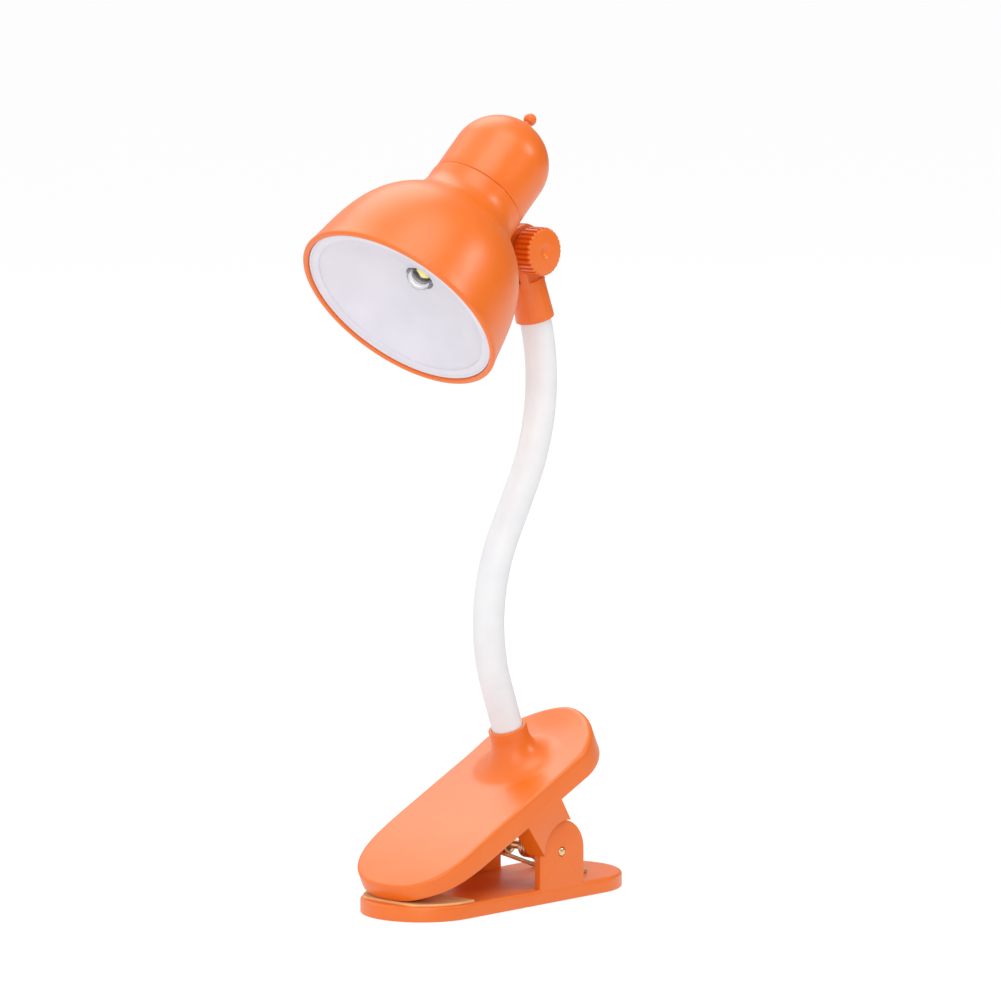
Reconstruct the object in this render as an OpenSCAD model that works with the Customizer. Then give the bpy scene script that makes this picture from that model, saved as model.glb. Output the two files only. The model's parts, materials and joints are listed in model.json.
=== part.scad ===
// Clip-on reading lamp: sprung clip, bendable neck, tilting battery head.
// X runs from the jaws' mouth (-) to the finger tails (+), Y along the hinge pin, Z up.
// The origin is the middle of the lower jaw's underside.

/* [Clip] */
// Length of the lower jaw plate
base_length = 92.6; // [88:0.2:100]
// Width of the lower jaw plate
base_width = 35.2; // [35:0.1:37]
// Thickness of the lower jaw plate
base_thick = 4.4; // [3.6:0.1:4.8]
// Width of the upper jaw
jaw_width = 39; // [38.6:0.2:42]
// Slope of the closed upper jaw, in degrees
jaw_slope = 25.5; // [24.5:0.1:26]
// Depth of the upper jaw's side wall
jaw_depth = 7; // [6.6:0.1:7.4]
// Wall thickness of the upper jaw
jaw_wall = 1.8; // [1.4:0.1:2.4]
// Diameter of the hinge pin
pin_dia = 2.6; // [2.2:0.1:3]
// Diameter of the spring wire
wire_dia = 1.3; // [1:0.1:1.5]

/* [Neck] */
// Outside diameter of the neck sleeve
neck_dia = 9; // [8:0.1:9.2]
// Inside diameter of the neck sleeve
neck_bore = 5.2; // [5:0.1:6]
// Diameter of the bendable core
core_dia = 4.8; // [4:0.1:4.9]
// Radius of the lower bend
low_bend_r = 52.5; // [45:0.5:60]
// Radius of the upper bend
high_bend_r = 59.8; // [50:0.5:70]

/* [Head] */
// Radius of the shade's rim
rim_r = 31.4; // [31:0.1:32]
// Radius of the collar and cap
cap_r = 14.2; // [14:0.1:14.6]
// Angle of the head's axis above horizontal
head_pitch = 43; // [35:1:50]
// Radius of the thumb knob
knob_r = 6.9; // [6:0.1:7.5]
// Number of teeth round the thumb knob
knob_teeth = 28; // [20:1:36]
// Diameter of a button cell
cell_dia = 11.6; // [11.4:0.1:11.6]
// Height of a button cell
cell_height = 5.4; // [5:0.1:5.4]

/* [Hidden] */
$fn = 64;
clear = 0.05;                            // radial clearance of a running fit
gap = 0.3;                               // air between parts that move past each other

shell_orange = [0.93, 0.44, 0.19];
pale_orange = [0.95, 0.60, 0.42];
sleeve_white = [0.92, 0.92, 0.93];
steel = [0.62, 0.63, 0.65];
brass = [0.83, 0.66, 0.35];
board_green = [0.12, 0.38, 0.22];
holder_black = [0.12, 0.12, 0.13];

// Clip
pin_r = pin_dia / 2;
pin_x = 10.5;
pin_z = 14.2;
ear_r = 9.1;
ear_thick = 2.6;
ear_y = base_width / 2 - ear_thick;      // inner face of a lower ear
web_thick = 2.3;
web_y = ear_y - gap - web_thick;         // inner face of an upper web
web_depth = jaw_width / 2 - 0.1 - web_y;
jaw_top = 22;                            // top face above the pin, square to the slope
jaw_mouth = -51.6;                       // mouth tip along the slope, from the pin
jaw_tail = 36.1;                         // tail tip along the slope
mouth_end = [22.4, 2.57];                // rounded end: its length, and its exponent (2 is an ellipse)
tail_end = [19.3, 1.74];
mouth_drop = 2.3;                        // how far the top face falls towards the mouth
tail_lift = 3.1;                         // and how far it rises towards the tail
pad_thick = 0.6;
lower_pad = [18, 33.6];                  // length and width
lower_pad_x = -43;
upper_pad = [6.6, 14];
upper_pad_x = -41.2;
anvil = [10.5, 16];                      // length and width of the upper jaw's mouth block
anvil_x = -45;
anvil_z = 6;                             // its underside
coil_r = 2.6;                            // mean radius of the spring's coils
coil_turns = 4;
coil_in = 3.2;                           // inner end of each coil, from the middle
foot_angle = -21;                        // slope of the spring's lower arms
foot_reach = 18.4;
foot_flat = 3;
loop_angle = 62;                         // slope of the spring's upper loop
loop_reach = 30.8;

// Neck: a straight, a bend, a straight and a bend back, in the XZ plane.
// A heading is the angle from +Z towards +X.
neck_start = [6.07, 48.98];
low_heading = -20;
low_straight = 13.1;
low_sweep = 48.8;
mid_straight = 16.4;
high_sweep = 45.8;
joint_gap = 1.3;                         // core left out at each bending joint
neck_inset = 5.5;                        // sleeve held in the boss
socket_inset = 6.4;                      // sleeve held in the socket
seam = 0.02;                             // air between two lengths of the sleeve

function along(heading) = [sin(heading), cos(heading)];
function right_of(heading) = [cos(heading), -sin(heading)];

mid_heading = low_heading + low_sweep;
top_heading = mid_heading - high_sweep;
low_end = neck_start + low_straight * along(low_heading);
low_centre = low_end + low_bend_r * right_of(low_heading);
mid_start = low_centre - low_bend_r * right_of(mid_heading);
mid_end = mid_start + mid_straight * along(mid_heading);
high_centre = mid_end - high_bend_r * right_of(mid_heading);
neck_end = high_centre + high_bend_r * right_of(top_heading);

// Boss on the upper jaw, measured down from its rim
boss_r = 5.6;
boss_flare = 8.5;                        // how far it spreads
boss_flare_start = 2.4;
boss_flare_depth = 9.2;
boss_floor = 9.2;
boss_depth = 14;                         // past the underside of the jaw's top
post_r = 7.4;
screw_r = 1.45;

// Socket and tilt joint
socket_low_r = 5.6;
socket_high_r = 5.0;
socket_height = 12;
socket_reach = 20.8;                     // rim to tilt pivot
pivot = neck_end + socket_reach * along(top_heading);
fork_y = 3.9;                            // outer face of a fork ear
slot_y = 2.05;                           // inner face of a fork ear
fork_r = 5.2;
lug_y = 1.6;                             // half the thickness of the shade's lug
lug_r = 7.6;
slot_r = lug_r + 2.2;                    // depth of the fork's slot, from the pivot
knob_thick = 5.8;

// Head: a is the distance up the head's axis from the rim plane
pivot_a = 45.5;
pivot_r = 24.1;
head_axis = [cos(head_pitch), sin(head_pitch)];
head_side = [sin(head_pitch), -cos(head_pitch)];
rim_centre = pivot - pivot_a * head_axis - pivot_r * head_side;
rim_lean = 13;                           // slope of the bell at its rim, from the axis
shoulder_lean = 51;                      // and at its shoulder
fillet_r = 10;                           // hollow fillet between the shoulder and the collar
fillet_top = 40.2;
collar_r = cap_r + 0.25;
shade_wall = 2.2;
opening_r = 29.45;
collar_top = 43;
spigot_r = cap_r - 2.1;
spigot_top = 49;
seat_a = 41;                             // underside of the battery holder
dish_r = 26.4;                           // outer edge of the reflector's dish
dish_hole_r = 4.6;
dish_floor = 12.4;
led_a = 12.8;
lens_r = 4;
board_a = 14.6;
board_r = 10;
board_thick = 1.2;
board_screw_x = 7.5;
holder_top = 44;
cell_a = 46;
cells_top = cell_a + 3 * cell_height;
dome_a = 56;                             // where the cap's dome starts
dome_rise = 13.8;
cap_wall = 1.7;
lug_a = 46;                              // underside of the bayonet lugs
lug_high = 1.4;
twist = 30;                              // travel of the bayonet, in degrees
button_r = 1.85;
button_a = 73.4;
stem_r = 1.1;
button_travel = 0.9;
button_seat = dome_a + dome_rise + 0.6;  // top of the ring round the button

// ---- shared shapes ----

function arc(cx, cy, r, from, to, steps) =
    [for (i = [0:steps]) let (t = from + (to - from) * i / steps) [cx + r * cos(t), cy + r * sin(t)]];

// Places its children with Z along the neck at a point and heading
module along_neck(point, heading) {
    translate([point[0], 0, point[1]]) rotate([0, heading, 0]) children();
}

module at_jaw() {
    translate([pin_x, 0, pin_z]) rotate([0, -jaw_slope, 0]) children();
}

// Head frame: Z up the head's axis, X towards the tilt joint
module at_head() {
    translate([rim_centre[0], 0, rim_centre[1]]) rotate([0, 90 - head_pitch, 0]) children();
}

module tube(from, to, outer, inner) {
    difference() {
        translate([0, 0, from]) cylinder(r = outer, h = to - from);
        translate([0, 0, from - 1]) cylinder(r = inner, h = to - from + 2);
    }
}

// Piece of a tube bent about Y; inner 0 makes a rod
module bent(centre, bend_r, from, to, outer, inner = 0) {
    translate([centre[0], 0, centre[1]]) rotate([90, 0, 0]) rotate([0, 0, from])
        rotate_extrude(angle = to - from) translate([bend_r, 0]) difference() {
            circle(r = outer);
            if (inner > 0) circle(r = inner);
        }
}

// The lower bend between two headings
module low_bend(from, to, outer, inner = 0) {
    bent(low_centre, low_bend_r, 180 - to, 180 - from, outer, inner);
}

// The upper bend between two headings, from the higher one
module high_bend(from, to, outer, inner = 0) {
    bent(high_centre, high_bend_r, -from, -to, outer, inner);
}

module stadium(from, to, width) {
    r = width / 2;
    translate([from + r, -r]) square([to - from - width, width]);
    translate([from + r, 0]) circle(r = r);
    translate([to - r, 0]) circle(r = r);
}

// Cylinder along Y, from one Y to another
module cross(r, from, to) {
    translate([0, to, 0]) rotate([90, 0, 0]) cylinder(r = r, h = to - from);
}

// Extrudes an XZ outline along Y
module plate_y(from, to) {
    translate([0, to, 0]) rotate([90, 0, 0]) linear_extrude(to - from) children();
}

// Closed tube swept along a list of points, with its side count
function unit(v) = v / norm(v);
function tangent(p, i) = unit(p[min(i + 1, len(p) - 1)] - p[max(i - 1, 0)]);
module wire(path, r, sides = 8) {
    n = len(path);
    rings = [for (i = [0:n - 1])
        let (t = tangent(path, i), u = unit(cross([t[0], t[1], t[2]], [0.013, 0.021, 1])), v = cross(t, u))
        for (k = [0:sides - 1]) path[i] + r * (u * cos(360 * k / sides) + v * sin(360 * k / sides))];
    skin = [for (i = [0:n - 2]) for (k = [0:sides - 1])
        [i * sides + k, i * sides + (k + 1) % sides,
         (i + 1) * sides + (k + 1) % sides, (i + 1) * sides + k]];
    polyhedron(points = rings, convexity = 8,
        faces = concat(skin, [[for (k = [sides - 1:-1:0]) k]],
            [[for (k = [0:sides - 1]) (n - 1) * sides + k]]));
}

// ---- clip ----

module lower_jaw() {
    color(shell_orange) difference() {
        union() {
            linear_extrude(base_thick) stadium(-base_length / 2, base_length / 2, base_width);
            for (y = [-base_width / 2, ear_y]) plate_y(y, y + ear_thick) {
                translate([pin_x, pin_z]) circle(r = ear_r);
                translate([pin_x - ear_r, base_thick / 2]) square([2 * ear_r, pin_z - base_thick / 2]);
            }
        }
        translate([pin_x, 0, pin_z]) cross(pin_r + clear, -base_width, base_width);
    }
}

module lower_grip_pad() {
    color(pale_orange) translate([0, 0, base_thick]) linear_extrude(pad_thick) intersection() {
        stadium(-base_length / 2 + 0.8, base_length / 2 - 0.8, base_width - 1.6);
        translate([lower_pad_x, -lower_pad[1] / 2]) square(lower_pad);
    }
}

module hinge_pin() {
    color(brass) translate([pin_x, 0, pin_z]) cross(pin_r, -base_width / 2 - 0.15, base_width / 2 + 0.15);
}

// Half of the double torsion spring's wire, from the lower foot to the middle of the loop
coil_steps = 13 * coil_turns;
coil_sweep = 360 * coil_turns + 180 + foot_angle - loop_angle;
function coil_y(turn) = coil_in + (coil_turns - turn) * (wire_dia + 0.1);
function spring_half(side) =
    let (foot = [pin_x + coil_r * sin(foot_angle) + foot_reach * cos(foot_angle), side * coil_y(0),
                 pin_z - coil_r * cos(foot_angle) + foot_reach * sin(foot_angle)])
    concat([foot + [foot_flat, 0, 0], foot],
        [for (i = [0:coil_steps])
            let (swing = foot_angle - 90 - coil_sweep * i / coil_steps)
            [pin_x + coil_r * cos(swing), side * coil_y(coil_turns * i / coil_steps),
             pin_z + coil_r * sin(swing)]],
        [[pin_x - coil_r * sin(loop_angle) + loop_reach * cos(loop_angle), side * coil_in,
          pin_z + coil_r * cos(loop_angle) + loop_reach * sin(loop_angle)]]);

module torsion_spring() {
    near = spring_half(-1);
    far = spring_half(1);
    color(brass) wire(concat(near, [for (i = [len(far) - 1:-1:0]) far[i]]), wire_dia / 2);
}

// Rounded end of the upper jaw's outline, in line with the jaw
function power(v, n) = sign(v) * pow(abs(v), 2 / n);
function rounded_end(end, middle, from, to, steps = 40) =
    [for (i = [0:steps]) let (t = from + (to - from) * i / steps)
        [middle + end[0] * power(cos(t), end[1]), jaw_width / 2 * power(sin(t), end[1])]];

// Height of the upper jaw's top face, along the slope
function top_at(x) = jaw_top + tail_lift * pow(max(x - 5, 0) / 30, 2)
    - mouth_drop * pow(max(-20 - x, 0) / 30, 2);

// The upper jaw's form down to a height, shrunk by inset
module jaw_form(inset, low) {
    steps = 20;
    from = jaw_mouth - 1;
    to = jaw_tail + 1;
    intersection() {
        translate([0, 0, low]) linear_extrude(3 * jaw_top) offset(delta = -inset) polygon(concat(
            rounded_end(tail_end, jaw_tail - tail_end[0], -90, 90),
            rounded_end(mouth_end, jaw_mouth + mouth_end[0], 90, 270)));
        plate_y(-jaw_width, jaw_width) polygon(concat([[from, low], [to, low]],
            [for (i = [steps:-1:0]) let (x = from + (to - from) * i / steps) [x, top_at(x) - inset]]));
    }
}

// Side web of the upper jaw, as an XZ outline about the pin
module web_outline() {
    circle(r = 6.4);
    polygon([[-11.8, jaw_top - 1], [-8.5, 4], [-6.3, 0], [6.4, 0], [5.4, 7.2], [4, jaw_top - 1]]);
}

// Each web stands in line with the side wall, arches over the ear and steps in behind it
module jaw_webs() {
    for (side = [-1, 1]) difference() {
        intersection() {
            plate_y(-jaw_width, jaw_width) web_outline();
            translate([-jaw_width, side * (web_y + jaw_width / 2 - 0.1) / 2 - web_depth / 2, -ear_r])
                cube([2 * jaw_width, web_depth, 2 * jaw_width]);
        }
        scale([1, side, 1]) cross(ear_r + gap, web_y + web_thick, jaw_width);
    }
}

// Round collar for the neck, which flares out onto the cover, with a post under the cover
module boss() {
    flare = [for (t = [0:11.25:90]) [boss_r + boss_flare * (1 - cos(t)),
                                     -boss_flare_start - boss_flare_depth * sin(t)]];
    foot = -boss_flare_start - boss_flare_depth - jaw_wall;
    along_neck(neck_start, low_heading) translate([0, 0, -boss_depth]) cylinder(r = post_r, h = boss_depth / 2);
    difference() {
        along_neck(neck_start, low_heading) rotate_extrude() polygon(concat(
            [[0, 0], [boss_r - 0.4, 0], [boss_r, -0.4]], flare, [[boss_r + boss_flare, foot], [0, foot]]));
        at_jaw() jaw_form(jaw_wall, 0);
    }
}

module mouth_block() {
    intersection() {
        at_jaw() jaw_form(0.9, -jaw_top);
        translate([anvil_x, -anvil[1] / 2, anvil_z]) cube([anvil[0], anvil[1], 16]);
    }
}

module upper_jaw() {
    color(shell_orange) difference() {
        union() {
            at_jaw() difference() {
                jaw_form(0, jaw_top - jaw_depth);
                jaw_form(jaw_wall, jaw_top - jaw_depth - 1);
            }
            at_jaw() jaw_webs();
            boss();
            mouth_block();
        }
        translate([pin_x, 0, pin_z]) cross(pin_r + clear, -base_width, base_width);
        along_neck(neck_start, low_heading) {
            translate([0, 0, -boss_floor]) cylinder(r = neck_dia / 2 + clear, h = boss_floor + 1);
            translate([0, 0, -20]) cylinder(r = screw_r + clear, h = 20);
        }
    }
}

module upper_grip_pad() {
    color(pale_orange) translate([upper_pad_x, -upper_pad[1] / 2, anvil_z - pad_thick])
        cube([upper_pad[0], upper_pad[1], pad_thick]);
}

// Pan-head screw that holds the neck's ferrule down in the boss
module neck_screw() {
    color(steel) along_neck(neck_start, low_heading) difference() {
        union() {
            translate([0, 0, -boss_depth - 1.9]) cylinder(r = 2.7, h = 1.9);
            translate([0, 0, -boss_depth - 0.5]) cylinder(r = screw_r, h = boss_depth - neck_inset - 0.2);
        }
        translate([0, 0, -boss_depth - 2]) for (turn = [0, 90]) rotate([0, 0, turn])
            translate([-1.6, -0.3, 0]) cube([3.2, 0.6, 1.1]);
    }
}

module neck_ferrule() {
    color(brass) along_neck(neck_start, low_heading)
        tube(-boss_floor, -neck_inset, neck_dia / 2 - 0.1, screw_r + clear);
}

// ---- neck ----

core_r = core_dia / 2;
half_gap = joint_gap / 2;
low_half = half_gap / low_bend_r * 180 / PI;      // half the gap, as an angle of each bend
high_half = half_gap / high_bend_r * 180 / PI;
low_hinge = low_straight - 5.1;          // first joint, up the lower straight
bend_1 = low_heading + low_sweep / 4;
bend_2 = low_heading + low_sweep * 3 / 4;
bend_3 = mid_heading - high_sweep / 4;
bend_4 = mid_heading - high_sweep * 3 / 4;
socket_sweep = socket_inset / high_bend_r * 180 / PI;

// The straight lengths of core are drawn finer by a hair, so each runs on inside its bend
rod_r = core_r - 0.05;
rod_lap = 1;

module low_rod(from, to) {
    along_neck(neck_start, low_heading) translate([0, 0, from]) cylinder(r = rod_r, h = to - from);
}

module mid_rod(from, to) {
    along_neck(mid_start, mid_heading) translate([0, 0, from]) cylinder(r = rod_r, h = to - from);
}

module neck_core_1() { color(steel) low_rod(-neck_inset, low_hinge - half_gap); }

module neck_core_2() {
    color(steel) {
        low_rod(low_hinge + half_gap, low_straight + rod_lap);
        low_bend(low_heading, bend_1 - low_half, core_r);
    }
}

module neck_core_3() { color(steel) low_bend(bend_1 + low_half, bend_2 - low_half, core_r); }

module neck_core_4() {
    color(steel) {
        low_bend(bend_2 + low_half, mid_heading, core_r);
        mid_rod(-rod_lap, mid_straight / 2 - half_gap);
    }
}

module neck_core_5() {
    color(steel) {
        mid_rod(mid_straight / 2 + half_gap, mid_straight + rod_lap);
        high_bend(mid_heading, bend_3 + high_half, core_r);
    }
}

module neck_core_6() { color(steel) high_bend(bend_3 - high_half, bend_4 + high_half, core_r); }

module neck_core_7() { color(steel) high_bend(bend_4 - high_half, top_heading - socket_sweep, core_r); }

module neck_sleeve_1() {
    color(sleeve_white) along_neck(neck_start, low_heading)
        tube(-neck_inset, low_straight - seam, neck_dia / 2, neck_bore / 2);
}

module neck_sleeve_2() {
    color(sleeve_white) low_bend(low_heading, low_heading + low_sweep / 2, neck_dia / 2, neck_bore / 2);
}

module neck_sleeve_3() {
    color(sleeve_white) low_bend(low_heading + low_sweep / 2, mid_heading, neck_dia / 2, neck_bore / 2);
}

module neck_sleeve_4() {
    color(sleeve_white) along_neck(mid_start, mid_heading)
        tube(seam, mid_straight - seam, neck_dia / 2, neck_bore / 2);
}

module neck_sleeve_5() {
    color(sleeve_white) high_bend(mid_heading, mid_heading - high_sweep / 2, neck_dia / 2, neck_bore / 2);
}

module neck_sleeve_6() {
    color(sleeve_white) high_bend(mid_heading - high_sweep / 2, top_heading - socket_sweep,
        neck_dia / 2, neck_bore / 2);
}

// ---- socket and tilt joint ----

module neck_socket() {
    color(shell_orange) difference() {
        along_neck(neck_end, top_heading) {
            cylinder(r1 = socket_low_r, r2 = socket_high_r, h = socket_height);
            intersection() {
                translate([0, 0, socket_height - 1]) cylinder(r = fork_r, h = 24);
                plate_y(-fork_y, fork_y) {
                    translate([0, socket_reach]) circle(r = fork_r);
                    translate([-fork_r, 0]) square([2 * fork_r, socket_reach]);
                }
            }
        }
        along_neck(neck_end, top_heading) translate([0, 0, socket_reach]) {
            cross(slot_r, -slot_y, slot_y);
            translate([-20, -slot_y, 0]) cube([40, 2 * slot_y, 20]);
            cross(screw_r + clear, -10, 10);
            translate([0, fork_y, 0]) rotate([90, 0, 0]) cylinder(r = 3.2, h = 1.2, $fn = 6);
        }
        high_bend(top_heading + 3, top_heading - socket_sweep - 0.2, neck_dia / 2 + clear);
    }
}

module at_pivot() {
    along_neck(pivot, top_heading) children();
}

module friction_washers() {
    color(steel) at_pivot() for (y = [-slot_y, lug_y + clear]) difference() {
        cross(4.2, y, y + slot_y - lug_y - clear);
        cross(screw_r + clear, -5, 5);
    }
}

module tilt_nut() {
    color(steel) at_pivot() difference() {
        translate([0, fork_y + 0.8, 0]) rotate([90, 0, 0]) cylinder(r = 3.1, h = 1.9, $fn = 6);
        cross(screw_r + clear, 0, 10);
    }
}

module tilt_screw() {
    color(steel) at_pivot() cross(screw_r, -fork_y - knob_thick + 1.6, fork_y + 0.9);
}

// Knob with rounded grooves between its teeth and a dimple in its face
module tilt_knob() {
    back = -fork_y - gap;
    face = back - knob_thick;
    groove_r = knob_r * PI / knob_teeth / 2 + 0.05;
    color(shell_orange) at_pivot() difference() {
        cross(knob_r, face, back);
        for (i = [0:knob_teeth - 1]) rotate([0, i * 360 / knob_teeth, 0])
            translate([knob_r + 0.1, 0, 0]) cross(groove_r, face + 0.5, back + 1);
        translate([0, face - 2.6, 0]) sphere(r = 3.4);
        cross(screw_r, face + 1.9, back + 1);
    }
}

// ---- head: shade, light and battery ----

// The bell's outline is one curve from the rim (t 0) to the shoulder (t 1)
bell_rim = [rim_r - 0.25, 0.4];
shoulder = [collar_r + fillet_r * (1 - cos(shoulder_lean)), fillet_top - fillet_r * sin(shoulder_lean)];
bell_pulls = [bell_rim, bell_rim + 8.5 * [-sin(rim_lean), cos(rim_lean)],
    shoulder - 14.6 * [-sin(shoulder_lean), cos(shoulder_lean)], shoulder];
function between(a, b, t) = a + (b - a) * t;
function halfway(p, t) = [for (i = [0:len(p) - 2]) between(p[i], p[i + 1], t)];
function bell_point(t, inset) =
    let (ends = halfway(halfway(bell_pulls, t), t), ahead = unit(ends[1] - ends[0]))
    between(ends[0], ends[1], t) + inset * [-ahead[1], ahead[0]];
function bell(inset, from, to, steps) =
    [for (i = [0:steps]) bell_point(from + (to - from) * i / steps, inset)];
function fillet(inset, from, to, steps) =
    arc(collar_r + fillet_r, fillet_top, fillet_r + inset, from, to, steps);

module shade_shell() {
    rotate_extrude() polygon(concat(
        [[opening_r, 0], [rim_r - 0.8, 0], [rim_r - 0.2, 0.2]],
        bell(0, 0, 1, 14),
        fillet(0, 180 + shoulder_lean, 180, 6),
        [[collar_r, collar_top], [spigot_r, collar_top], [spigot_r, spigot_top],
         [spigot_r - 1.4, spigot_top], [spigot_r - 1.4, seat_a], [9.6, seat_a], [9.6, 38.9]],
        fillet(shade_wall, 184.6, 180 + shoulder_lean, 5),
        bell(shade_wall, 1, 0.09, 12),
        [[opening_r - 1.1, 2.5], [opening_r, 2.5]]));
}

// The lug starts in the middle of the bell's wall and keeps clear of the cap
module shade_lug() {
    plate_y(-lug_y, lug_y) {
        translate([pivot_r, pivot_a]) circle(r = lug_r);
        polygon(concat(
            [[collar_r - 1.3, collar_top - 0.4]],
            fillet(shade_wall / 2, 190, 180 + shoulder_lean, 3),
            bell(shade_wall / 2, 1, 0.85, 2),
            [[pivot_r + 3.2, pivot_a - 6.9], [pivot_r - 5.9, pivot_a + 4.8],
             [collar_r + 0.4, collar_top - 0.4]]));
    }
}

// Bayonet tracks: a slot part way round the spigot with an entry at its free end
module bayonet_tracks() {
    for (side = [0, 180]) rotate([0, 0, side]) {
        translate([0, 0, lug_a - gap]) rotate([0, 0, -9]) rotate_extrude(angle = twist + 19)
            translate([spigot_r - 1.8, 0]) square([2.6, lug_high + 2 * gap]);
        rotate([0, 0, twist]) translate([spigot_r - 2, -1.8, lug_a + 0.6]) cube([4, 3.6, 10]);
    }
}

module lamp_shade() {
    color(shell_orange) at_head() difference() {
        union() {
            shade_shell();
            shade_lug();
        }
        bayonet_tracks();
        translate([pivot_r, 0, pivot_a]) cross(screw_r + clear, -10, 10);
    }
}

// Shallow dish with a flat flange round it; its depth follows the square of the radius
dish_steps = 10;
function dish_a(r) = 1.8 + (dish_floor - 1.8) * (1 - pow(r / dish_r, 2));
function dish(lift, from, to) = [for (i = [0:dish_steps])
    let (r = from + (to - from) * i / dish_steps) [r, dish_a(r) + lift]];

module reflector() {
    color("white") at_head() rotate_extrude() polygon(concat(
        dish(0, dish_hole_r, dish_r),
        [[dish_r, 1], [opening_r - 0.1, 1], [opening_r - 0.1, 2.2], [dish_r + 1.2, 2.2]],
        dish(1.2, dish_r, dish_hole_r)));
}

module led_board() {
    color("gainsboro") at_head() difference() {
        translate([0, 0, board_a]) cylinder(r = board_r, h = board_thick);
        for (side = [-1, 1]) translate([side * board_screw_x, 0, board_a - 1]) cylinder(r = 1.05, h = 4);
    }
}

module led_emitter() {
    color("khaki") at_head() {
        translate([0, 0, board_a - 0.5]) cylinder(r = lens_r - 0.4, h = 0.5);
        translate([-1.75, -1.4, board_a - 1.2]) cube([3.5, 2.8, 0.7]);
    }
}

module lens_dome() {
    intersection() {
        translate([0, 0, led_a]) sphere(r = lens_r);
        translate([-5, -5, led_a - 5]) cube([10, 10, 5]);
    }
}

module led_lens() {
    color([0.85, 0.9, 0.95, 0.5]) at_head() difference() {
        union() {
            lens_dome();
            translate([0, 0, led_a]) cylinder(r = lens_r, h = board_a - led_a);
        }
        translate([0, 0, led_a]) sphere(r = lens_r - 1.1);
        translate([0, 0, led_a]) cylinder(r = lens_r - 0.35, h = 5);
    }
}

module led_resistor() {
    color("black") at_head() translate([-1, 4, board_a + board_thick]) cube([2, 1.25, 0.55]);
}

// Two screws that hold the board behind the reflector
module board_screws() {
    color(steel) at_head() for (side = [-1, 1]) translate([side * board_screw_x, 0, board_a]) {
        translate([0, 0, board_thick]) cylinder(r = 1.9, h = 1.2);
        translate([0, 0, -1.2]) cylinder(r = 1, h = 2.5);
    }
}

module lead_wires() {
    color("firebrick") at_head() for (y = [-5, 5])
        translate([-4, y, board_a + board_thick]) cylinder(r = 0.6, h = seat_a - board_a - board_thick);
}

module battery_holder() {
    color(holder_black) at_head() {
        translate([0, 0, seat_a]) cylinder(r = spigot_r - 1.5, h = holder_top - seat_a);
        tube(holder_top, cells_top - 1.2, cell_dia / 2 + 1.3, cell_dia / 2 + 0.1);
    }
}

// Conical spring under the cells
spring_steps = 36;
module contact_spring() {
    low = holder_top + 0.35;
    high = cell_a - 0.35;
    color(brass) at_head() wire([for (i = [0:spring_steps])
        let (r = 4.2 - 2.2 * i / spring_steps, t = i * 360 * 3 / spring_steps)
        [r * cos(t), r * sin(t), low + (high - low) * i / spring_steps]], 0.3, 6);
}

module button_cell(index) {
    color(steel) at_head() translate([0, 0, cell_a + index * cell_height]) {
        cylinder(r = cell_dia / 2, h = cell_height - 0.9);
        cylinder(r = cell_dia / 2 - 0.7, h = cell_height);
    }
}

module button_cell_1() { button_cell(0); }
module button_cell_2() { button_cell(1); }
module button_cell_3() { button_cell(2); }

function dome(r, rise, from, to, steps) =
    [for (i = [0:steps]) let (t = from + (to - from) * i / steps) [r * cos(t), dome_a + rise * sin(t)]];

module rear_cap() {
    inner_r = cap_r - cap_wall;
    color(shell_orange) at_head() {
        difference() {
            rotate_extrude() polygon(concat(
                [[inner_r, collar_top + 0.15], [cap_r, collar_top + 0.15]],
                dome(cap_r, dome_rise, 0, 76, 14),
                [[3.1, button_seat - 0.5], [3.1, button_seat], [0, button_seat],
                 [0, dome_a + dome_rise - 2.4]],
                dome(inner_r, dome_rise - cap_wall, 84, 0, 12)));
            translate([0, 0, button_seat - button_travel - 0.4]) cylinder(r = button_r + gap, h = 3);
            translate([0, 0, dome_a]) cylinder(r = stem_r + 0.15, h = 20);
        }
        for (side = [0, 180]) rotate([0, 0, side - 6]) translate([0, 0, lug_a]) rotate_extrude(angle = 12)
            translate([spigot_r - 0.9, 0]) square([inner_r - spigot_r + 1.2, lug_high]);
    }
}

// Board and spring leaf in the cap that close the circuit on the last cell
module rear_contact() {
    color(brass) at_head() {
        translate([0, 0, cells_top + gap]) cylinder(r = 4, h = 0.4);
        translate([0, 0, cells_top + gap + 0.4]) cylinder(r = 9, h = 0.8);
    }
}

switch_a = cells_top + gap + 1.2;

module push_switch() {
    color(holder_black) at_head() translate([0, 0, switch_a]) {
        translate([-3, -3, 0]) cube([6, 6, 1.8]);
        translate([0, 0, 1.8]) cylinder(r = 1.5, h = 0.4);
    }
}

module button_spring() {
    color(steel) at_head() for (a = [switch_a + 2, switch_a + 2.7]) translate([0, 0, a])
        rotate_extrude() translate([2.2, 0]) circle(r = 0.2, $fn = 16);
}

module finial_button() {
    foot_a = dome_a + dome_rise - cap_wall - 1.15;
    color(shell_orange) at_head() {
        translate([0, 0, button_a]) sphere(r = button_r);
        translate([0, 0, foot_a]) cylinder(r = stem_r, h = button_a - foot_a);
    }
}

// ---- assembly ----

lower_jaw();
lower_grip_pad();
hinge_pin();
torsion_spring();
upper_jaw();
upper_grip_pad();
neck_screw();
neck_ferrule();
neck_core_1();
neck_core_2();
neck_core_3();
neck_core_4();
neck_core_5();
neck_core_6();
neck_core_7();
neck_sleeve_1();
neck_sleeve_2();
neck_sleeve_3();
neck_sleeve_4();
neck_sleeve_5();
neck_sleeve_6();
neck_socket();
friction_washers();
tilt_nut();
tilt_screw();
tilt_knob();
lamp_shade();
reflector();
led_board();
led_emitter();
led_lens();
led_resistor();
board_screws();
lead_wires();
battery_holder();
contact_spring();
button_cell_1();
button_cell_2();
button_cell_3();
rear_cap();
rear_contact();
push_switch();
button_spring();
finial_button();
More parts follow.
